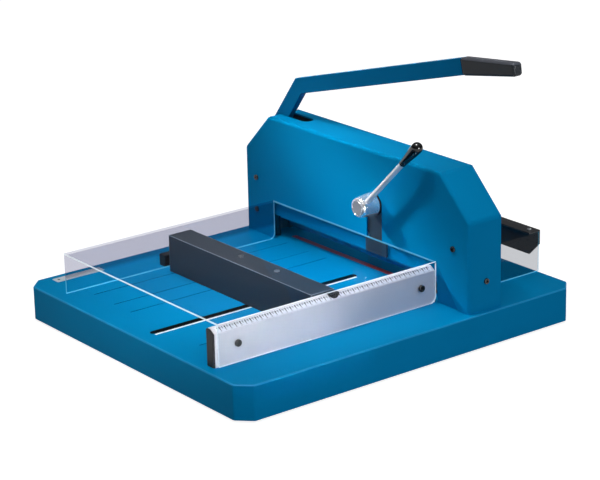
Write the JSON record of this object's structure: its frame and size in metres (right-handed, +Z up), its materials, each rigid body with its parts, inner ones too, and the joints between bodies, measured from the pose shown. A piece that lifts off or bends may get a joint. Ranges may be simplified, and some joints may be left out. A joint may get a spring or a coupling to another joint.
{
  "type": "stack cutter",
  "caption": "Desk stack cutter: a long lever swings a guillotine blade through paper held by a lever clamp, with a sliding back gauge, side rail and clear guards on a blue base.",
  "frame": {"origin": "centre of the base, on the surface that the rubber feet stand on", "axes": "+X along the blade, to the right seen from the back gauge's side; +Y along the feed, from the back gauge to the delivery side; +Z up"},
  "size_m": [0.705, 0.718, 0.5039],
  "materials": {
    "blue_paint": "fine textured powder coat, mid blue, satin",
    "plain_steel": "turned and zinc plated",
    "dark_steel": "blackened plate, matt",
    "blade_steel": "ground and polished",
    "chrome": "polished chrome plate",
    "rail_aluminium": "extruded, natural anodised",
    "ruler_face": "satin foil with printed ticks",
    "plate_silver": "bare satin plate",
    "clear_acrylic": "clear cast sheet with polished edges",
    "black_plastic": "moulded, matt black",
    "black_steel": "blackened steel",
    "knob_black": "gloss black",
    "anthracite_paint": "fine textured powder coat, anthracite",
    "grip_plastic": "moulded, fine grain, dark grey",
    "stick_red": "moulded, red",
    "foot_rubber": "matt black",
    "bronze": "sintered bronze"
  },
  "bodies": {
    "base": {"base_table": "blue_paint", "bottom_plate": "dark_steel", "base_ribs": "dark_steel", "rubber_feet": "foot_rubber", "feet_screws": "plain_steel", "stick_holder": "dark_steel", "cutting_stick": "stick_red", "gauge_track": "dark_steel", "name_plate": "plate_silver", "frame_plate": "dark_steel", "left_cheek": "dark_steel", "right_cheek": "dark_steel", "front_cover": "blue_paint", "throat_plate": "blue_paint", "back_cover": "blue_paint", "cover_screws": "black_steel", "lever_shaft": "plain_steel", "link_shaft": "plain_steel", "shaft_rings": "dark_steel", "clamp_columns": "plain_steel", "side_rail": "rail_aluminium", "rail_end_cap": "black_plastic", "ruler_strip": "ruler_face", "rail_screws": "black_steel", "rear_guard": "clear_acrylic", "guard_bracket": "black_plastic", "bracket_screw": "plain_steel", "hinge_brackets": "black_steel", "hinge_pins": "plain_steel"},
    "lever": {"lever_arm": "blue_paint", "lever_grip": "grip_plastic", "lever_bushes": "bronze"},
    "blade_carrier": {"blade_carrier": "dark_steel", "blade": "blade_steel", "blade_bolts": "plain_steel", "carrier_pins": "plain_steel", "pin_rings": "dark_steel"},
    "swing_link": {"swing_link": "dark_steel", "link_bushes": "bronze"},
    "clamp": {"clamp_bar": "dark_steel", "clamp_pad": "foot_rubber", "slide_plate": "dark_steel", "slide_screws": "plain_steel", "clamp_spindle": "plain_steel", "clamp_collar": "black_plastic"},
    "clamp_lever": {"clamp_hub": "chrome", "clamp_rod": "chrome", "clamp_knob": "knob_black"},
    "back_gauge": {"gauge_beam": "anthracite_paint", "gauge_slider": "plain_steel", "gauge_keeper": "dark_steel", "gauge_screws": "black_steel", "gauge_pointer": "black_plastic"},
    "front_guard": {"front_guard": "clear_acrylic", "guard_lip": "black_plastic", "hinge_leaves": "black_steel", "lip_screws": "plain_steel"}
  },
  "joints": [
    {"name": "lever_swing", "type": "hinge", "parent": "base", "child": "lever", "pos_m": [-0.256, 0.1555, 0.236], "axis": [0, 1, 0], "range_deg": [-40, 17]},
    {"name": "carrier_pivot", "type": "hinge", "parent": "lever", "child": "blade_carrier", "pos_m": [-0.19105, 0.1555, 0.1985], "axis": [0, 1, 0], "range_deg": [-17, 40]},
    {"name": "link_swing", "type": "hinge", "parent": "base", "child": "swing_link", "pos_m": [0.119, 0.1555, 0.236], "axis": [0, 1, 0], "range_deg": [-40, 17]},
    {"name": "clamp_slide", "type": "slide", "parent": "base", "child": "clamp", "axis": [0, 0, 1], "range_m": [-0.0415, 0]},
    {"name": "clamp_turn", "type": "hinge", "parent": "clamp", "child": "clamp_lever", "pos_m": [0.064, 0.1, 0.2004], "axis": [0, 1, 0], "range_deg": [-60, 40]},
    {"name": "gauge_slide", "type": "slide", "parent": "base", "child": "back_gauge", "axis": [0, 1, 0], "range_m": [-0.2, 0.188]},
    {"name": "guard_swing", "type": "hinge", "parent": "base", "child": "front_guard", "pos_m": [0, 0.198, 0.144], "axis": [1, 0, 0], "range_deg": [0, 80]}
  ],
  "couplings": [
    {"joint": "carrier_pivot", "follows": "lever_swing", "ratio": -1},
    {"joint": "link_swing", "follows": "lever_swing", "ratio": 1}
  ]
}
